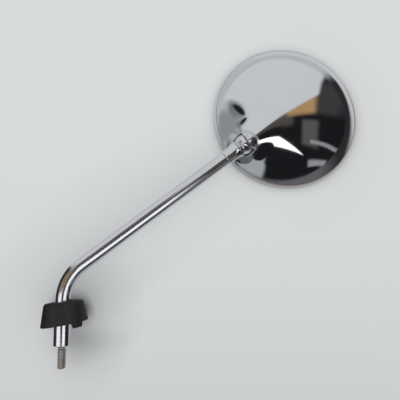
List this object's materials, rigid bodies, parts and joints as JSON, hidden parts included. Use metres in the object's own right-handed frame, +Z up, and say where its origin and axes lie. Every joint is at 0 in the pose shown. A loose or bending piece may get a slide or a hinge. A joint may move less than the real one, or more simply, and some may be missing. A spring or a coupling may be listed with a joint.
{
  "type": "scooter mirror",
  "caption": "Round chrome scooter mirror with a domed back on a ball joint, a bent tube stem, a sliding rubber boot and a threaded stud for a lever bracket.",
  "frame": {"origin": "centre of the foot's end face, where the stud leaves it", "axes": "+Z up the foot, the stem leans towards +X, the dome faces -Y and the glass faces +Y"},
  "size_m": [0.25, 0.0334, 0.2507],
  "materials": {
    "stud_steel": "zinc plated thread, slightly yellowed",
    "chrome": "polished chrome plate",
    "rubber": "matt moulded rubber",
    "mirror": "silvered glass",
    "pad": "closed foam",
    "nylon": "plain moulded nylon",
    "clamp_steel": "plain zinc"
  },
  "bodies": {
    "stem": {"mounting_stud": "stud_steel", "stem_foot": "chrome", "stem_tube": "chrome", "ball_stud": "chrome", "clamp_screw": "clamp_steel", "lower_disc_spring": "clamp_steel", "upper_disc_spring": "clamp_steel", "spring_washer": "clamp_steel"},
    "boot": {"rubber_boot": "rubber"},
    "washer": {"pressure_washer": "clamp_steel"},
    "liner": {"seat_liner": "nylon"},
    "head": {"rear_shell": "chrome", "rim_bezel": "chrome", "rim_gasket": "rubber", "mirror_glass": "mirror", "backing_pad": "pad"}
  },
  "joints": [
    {"name": "boot_slide", "type": "slide", "parent": "stem", "child": "boot", "axis": [0, 0, 1], "range_m": [-0.012, 0.001]},
    {"name": "head_swivel", "type": "hinge", "parent": "stem", "child": "washer", "pos_m": [0.1371, 0, 0.14794], "axis": [0.807, 0, 0.5906], "continuous": true},
    {"name": "head_nod", "type": "hinge", "parent": "washer", "child": "liner", "pos_m": [0.1371, 0, 0.14794], "axis": [0.5906, 0, -0.807], "range_deg": [-8, 8]},
    {"name": "head_sway", "type": "hinge", "parent": "liner", "child": "head", "pos_m": [0.1371, 0, 0.14794], "axis": [0, 1, 0], "range_deg": [-8, 8]}
  ]
}
